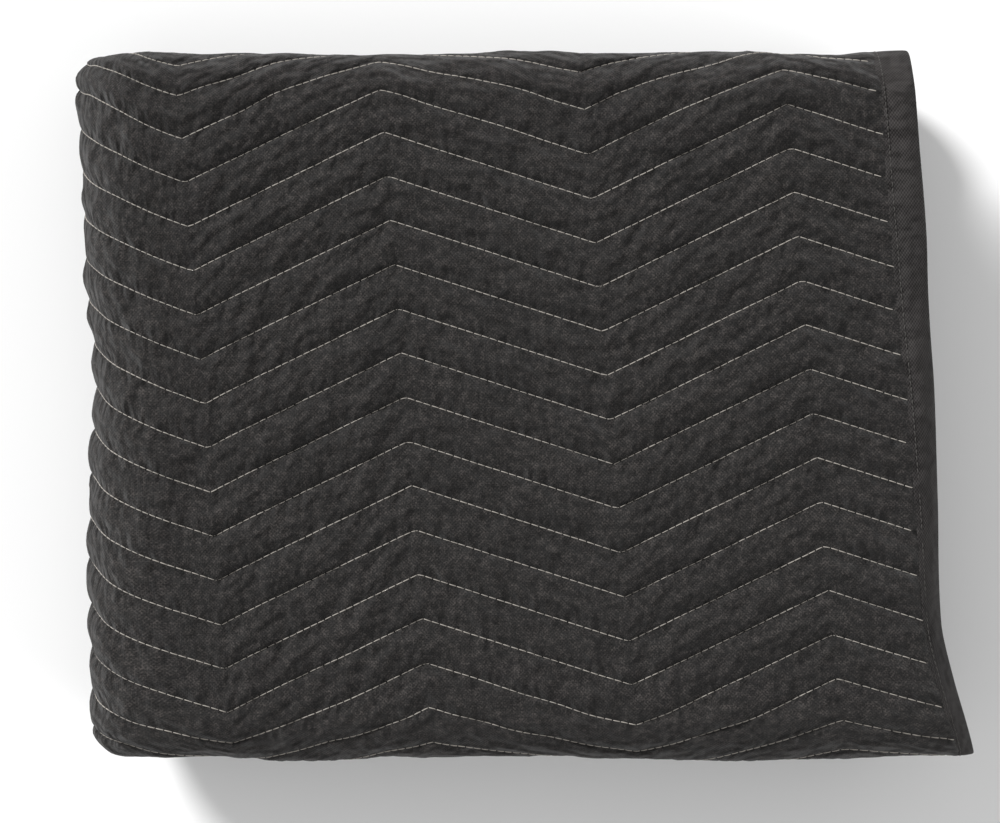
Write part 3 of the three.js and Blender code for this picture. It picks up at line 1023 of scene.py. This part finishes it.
def pucker_group():
    """Short creases that run across a line of stitching and die away from it."""
    n, given, out = new_group(
        "puckers",
        [("Along", "Float"), ("Off", "Float"), ("Near", "Float"), ("Spacing", "Float"), ("Reach", "Float")],
        [("Height", "Float")],
    )
    across_crests = n.math("DIVIDE", given["Along"], given["Spacing"])
    along_crests = n.math("DIVIDE", given["Off"], given["Reach"])
    crests = n.noise(n.combine(across_crests, along_crests), 1, 1, 0.45)
    swell = n.math("SUBTRACT", crests, 0.5)
    n.put(out["Height"], n.math("MULTIPLY", swell, given["Near"]))
    return n.tree


def nonwoven():
    """Charcoal fibre web, pressed together in a fine grid of dots, puckered beside the rows, and painted a
    little darker near them as shade in their grooves.
    """
    material, tree, shader = new_material("charcoal_nonwoven", srgb(58, 54, 52), 0.93)
    n = Nodes(tree)
    uv = n.add("ShaderNodeUVMap", uv_map="cloth").outputs["UV"]
    along, over = n.split(uv)
    turn = 2 * math.pi / DOT_PITCH
    a = n.math("SINE", n.math("MULTIPLY", along, turn))
    b = n.math("SINE", n.math("MULTIPLY", over, turn))
    dots = n.math("MULTIPLY", a, b)
    pressed = n.clamp(n.math("MULTIPLY", n.math("SUBTRACT", dots, 0.1), 2.4))
    grain = n.place(GRAIN, {"Vector": uv, "Fibres": 0.85, "Clumps": 0.6, "Patches": 0.12})

    rows_uv = n.add("ShaderNodeUVMap", uv_map="rows").outputs["UV"]
    along, off = n.split(rows_uv)
    phase = n.math("DIVIDE", off, ROW_SPACING)
    near = n.math("SUBTRACT", 1.0, n.math("MULTIPLY", n.math("PINGPONG", phase, 0.5), 2.0))
    # How close a place is to its row: it sets the puckers and the painted shade in the grooves.
    gather_and_groove_shade = n.math("POWER", near, 1.3)
    beside = n.math("ADD", n.math("MULTIPLY", gather_and_groove_shade, 0.75), 0.25)
    between = n.math("SUBTRACT", 1.25, near)
    short = {"Along": along, "Off": off, "Near": beside, "Spacing": 0.0068, "Reach": 0.0105}
    wide = {"Along": along, "Off": off, "Near": between, "Spacing": 0.016, "Reach": 0.011}
    wide_height = n.math("MULTIPLY", n.place(PUCKERS, wide)["Height"], 0.9)
    creases = n.math("ADD", n.place(PUCKERS, short)["Height"], wide_height)

    # A little darker near the rows: painted shade in the stitch grooves.
    tone = n.math("SUBTRACT", grain["Tone"], n.math("MULTIPLY", gather_and_groove_shade, 0.03))
    colour = n.darker(n.ramp(tone, colour_stops(FIBRE_COLOURS)), pressed, PRESSED_SHADE)
    tree.links.new(colour, shader.inputs["Base Color"])
    raised = n.math("MULTIPLY", grain["Height"], 0.8)
    height = n.math("SUBTRACT", raised, n.math("MULTIPLY", pressed, 0.6))
    fine = n.bump(height, 0.7, FIBRE_BUMP)
    tree.links.new(n.bump(creases, 1.0, CREASE_BUMP, fine), shader.inputs["Normal"])
    shader.inputs["Sheen Weight"].default_value = 0.08
    shader.inputs["Sheen Roughness"].default_value = 0.6
    return material


def woven(name, light, shade, warp, weft, crease):
    """A plain weave with the given pitch of its threads and depth of its creases."""
    material, tree, shader = new_material(name, light, 0.86)
    n = Nodes(tree)
    uv = n.add("ShaderNodeUVMap", uv_map="cloth").outputs["UV"]
    weave = n.place(WEAVE, {"Vector": uv, "Warp Pitch": warp, "Weft Pitch": weft, "Unevenness": 0.8})
    grain = n.place(GRAIN, {"Vector": uv, "Fibres": 0.3, "Clumps": 0.35, "Patches": 0.6})
    along, over = n.split(uv)
    puckers = {"Along": along, "Off": over, "Near": 1.0, "Spacing": 0.009, "Reach": 0.011}
    creases = n.place(PUCKERS, puckers)["Height"]
    # The colour runs from shade to light by the weave's painted shade and the cloth's own uneven tone.
    threads = n.math("MULTIPLY", weave["Tone"], 0.4)
    level = n.math("ADD", threads, n.math("MULTIPLY", grain["Tone"], 0.6))
    tree.links.new(n.ramp(level, [(0.25, shade), (0.75, light)]), shader.inputs["Base Color"])
    fine = n.bump(weave["Height"], 0.6, WEAVE_BUMP)
    tree.links.new(n.bump(creases, 1.0, crease, fine), shader.inputs["Normal"])
    return material


def thread(name, colour):
    """Plain spun thread."""
    return new_material(name, colour, 0.6)[0]


WEAVE = weave_group()
GRAIN = grain_group()
PUCKERS = pucker_group()
charcoal = nonwoven()
orange = woven("orange_woven", srgb(226, 112, 52), srgb(190, 80, 32), 0.0008, 0.0008, 0.003)
black_tape = woven("black_tape", srgb(60, 57, 56), srgb(17, 16, 16), 0.0012, 0.0009, 0.006)
grey_thread = thread("grey_thread", srgb(148, 143, 136))
dark_thread = thread("dark_thread", srgb(66, 64, 62))

pad = outward(build_pad(charcoal, orange))
tapes = build_tapes(black_tape)

# The rows that show, in windows: the first row and the last, from and to along the strip, and from
# and to across the cloth.
FACE_FROM = BACK_FOLD["begin"] - 6
FACE_TO = INNER["begin"] + 4
INSIDE_TO = LINE - TAPE - 2
TOP_WINDOW = (-14, 14, TAPE - 1, BOTTOM["begin"], FACE_FROM, FACE_TO)
UNDER_WINDOW = (-14, 18, BOTTOM["begin"], THIRD["begin"], FACE_FROM, FACE_TO)
BACK_WINDOW = (-30, 40, THIRD["begin"], INSIDE_TO, BACK_FOLD["begin"] - 4, OUTER["begin"] + 8)
FRONT_WINDOW = (-40, 30, THIRD["begin"], INSIDE_TO, FRONT_FOLD["begin"] - 8, INNER["begin"] + 2)

top_rows = stitched_rows("stitches_top", [TOP_WINDOW], grey_thread)
under_rows = stitched_rows("stitches_under", [UNDER_WINDOW], grey_thread)
side_rows = stitched_rows("stitches_sides", [BACK_WINDOW, FRONT_WINDOW], grey_thread)
seam = seam_stitches(dark_thread)

TAPE_NODES = ("side_tape_lower", "side_tape_upper", "end_tape_top", "end_tape_under")
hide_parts("pad")
for piece, node in zip(tapes, TAPE_NODES):
    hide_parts(node)
for piece in (pad, *tapes, top_rows, under_rows, side_rows, seam):
    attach(piece, "root")

# The stage: a pale floor under soft light, seen from straight above.
FLOOR_HALF = 15.0
FLOOR_COLOUR = (0.86, 0.86, 0.86)
SKY_STRENGTH = 0.55
CAMERA_PLACE = (-0.0140, -0.0039, 1.607)
LENS = 93.5
SENSOR = 36

corners = [(x * FLOOR_HALF, y * FLOOR_HALF, 0) for x, y in ((-1, -1), (1, -1), (1, 1), (-1, 1))]
floor_mesh = bpy.data.meshes.new("floor")
floor_mesh.from_pydata(corners, [], [(0, 1, 2, 3)])
floor = bpy.data.objects.new("floor", floor_mesh)
bpy.context.scene.collection.objects.link(floor)
floor_mesh.materials.append(new_material("floor", FLOOR_COLOUR, 0.9)[0])

world = bpy.data.worlds.new("studio")
bpy.context.scene.world = world
world.use_nodes = True
background = world.node_tree.nodes["Background"]
background.inputs["Color"].default_value = (1, 1, 1, 1)
background.inputs["Strength"].default_value = SKY_STRENGTH


def sun(name, position, strength, spread_angle):
    """A light from far away, from the side of the given place, so that the floor is even."""
    data = bpy.data.lights.new(name, "SUN")
    data.energy = strength
    data.angle = math.radians(spread_angle)
    light = bpy.data.objects.new(name, data)
    light.location = position
    light.rotation_euler = (-Vector(position)).to_track_quat("-Z", "Y").to_euler()
    bpy.context.scene.collection.objects.link(light)


sun("key", (-1.4, 1.4, 1.05), 4.6, 16)
sun("fill", (1.9, -0.9, 1.0), 1.0, 35)

camera_data = bpy.data.cameras.new("camera")
camera_data.sensor_width = SENSOR
camera_data.lens = LENS
camera = bpy.data.objects.new("camera", camera_data)
camera.location = CAMERA_PLACE
camera.rotation_euler = (0, 0, 0)
bpy.context.scene.collection.objects.link(camera)
bpy.context.scene.camera = camera
bpy.context.scene.view_settings.view_transform = "Standard"
